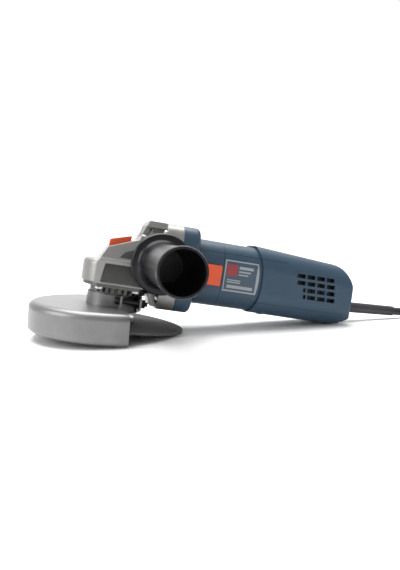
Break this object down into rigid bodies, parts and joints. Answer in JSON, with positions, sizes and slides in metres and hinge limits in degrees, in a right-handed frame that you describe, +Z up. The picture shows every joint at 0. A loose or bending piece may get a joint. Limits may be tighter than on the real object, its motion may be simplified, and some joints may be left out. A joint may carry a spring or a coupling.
{
  "type": "angle grinder",
  "caption": "Corded angle grinder with disc, guard, side handle, slide switch and spindle lock, lying on its disc, guard and rear cover",
  "frame": {"origin": "on the table, under the middle of the box of the tool without its cord", "axes": "+X towards the cord end of the tool, +Y away from the side handle, +Z up from the table"},
  "size_m": [0.4594, 0.2382, 0.0976],
  "materials": {
    "cast_alloy": "satin die cast",
    "blue_plastic": "fine textured",
    "orange_plastic": "satin",
    "black_plastic": "satin moulded",
    "label": "printed film",
    "guard_steel": "satin silver paint",
    "steel": "machined",
    "black_steel": "black oxide",
    "bearing_steel": "ground",
    "abrasive": "resin bonded grit with glass mesh",
    "copper": "enamelled copper",
    "lamination": "laminated sheet",
    "brass": "drawn",
    "carbon": "graphite",
    "fan_plastic": "glass filled",
    "cable_rubber": "matt rubber",
    "seal_rubber": "matt rubber",
    "yellow_film": "film capacitor wrap"
  },
  "bodies": {
    "tool": {"gear_housing": "cast_alloy", "bearing_flange": "cast_alloy", "bearing_flange_screws": "steel", "gear_housing_screws": "steel", "spindle_lock_spring": "steel", "spindle_needle_bearing": "bearing_steel", "spindle_ball_bearing": "bearing_steel", "spindle_seal": "seal_rubber", "motor_housing": "blue_plastic", "name_plate": "label", "rear_cover": "blue_plastic", "cord_clamp": "black_plastic", "cord_clamp_screws": "steel", "rear_cover_screw": "steel", "front_bearing": "bearing_steel", "front_bearing_clip": "black_steel", "rear_bearing": "bearing_steel", "rear_bearing_cup": "seal_rubber", "air_baffle": "fan_plastic", "field_core": "lamination", "field_coils": "copper", "brush_holders": "brass", "carbon_brushes": "carbon", "brush_springs": "steel", "power_switch": "black_plastic", "capacitor": "yellow_film", "cord_sleeve": "cable_rubber", "power_cord": "cable_rubber", "cord_coil": "cable_rubber", "cord_tail": "cable_rubber", "plug_body": "black_plastic", "plug_pins": "bearing_steel"},
    "spindle": {"spindle": "steel", "crown_gear": "steel", "retaining_ring": "black_steel", "spindle_spacer": "steel", "inner_flange": "steel", "lock_nut": "black_steel", "cutting_disc": "abrasive"},
    "armature": {"armature_shaft": "steel", "armature_core": "lamination", "armature_windings": "copper", "commutator": "copper", "cooling_fan": "fan_plastic", "pinion": "steel", "pinion_nut": "steel"},
    "guard": {"guard_shell": "guard_steel", "guard_collar": "guard_steel", "guard_clamp_screw": "black_steel", "guard_clamp_nut": "black_steel"},
    "switch": {"switch_thumb": "orange_plastic", "switch_rod": "black_plastic"},
    "lock": {"spindle_lock_button": "orange_plastic", "spindle_lock_pin": "steel"},
    "handle": {"side_handle": "black_plastic", "handle_stud": "steel"}
  },
  "joints": [
    {"name": "spindle_spin", "type": "hinge", "parent": "tool", "child": "spindle", "pos_m": [-0.0635, 0.03835, 0.06501], "axis": [0.1771, 0, 0.9842], "continuous": true},
    {"name": "armature_spin", "type": "hinge", "parent": "tool", "child": "armature", "pos_m": [-0.0635, 0.03835, 0.06501], "axis": [0.9842, 0, -0.1771], "continuous": true},
    {"name": "guard_turn", "type": "hinge", "parent": "tool", "child": "guard", "pos_m": [-0.0635, 0.03835, 0.06501], "axis": [0.1771, 0, 0.9842], "range_deg": [-120, 0]},
    {"name": "switch_slide", "type": "slide", "parent": "tool", "child": "switch", "axis": [-0.9842, 0, 0.1771], "range_m": [0, 0.006]},
    {"name": "lock_press", "type": "slide", "parent": "tool", "child": "lock", "axis": [-0.1771, 0, -0.9842], "range_m": [0, 0.0045], "stiffness_N_per_m": 900, "springref_m": -0.002, "deforming": ["spindle_lock_spring"]},
    {"name": "handle_unscrew", "type": "slide", "parent": "tool", "child": "handle", "axis": [0, -1, 0], "range_m": [0, 0.022]}
  ],
  "couplings": [
    {"joint": "armature_spin", "follows": "spindle_spin", "ratio": 3.1667}
  ]
}
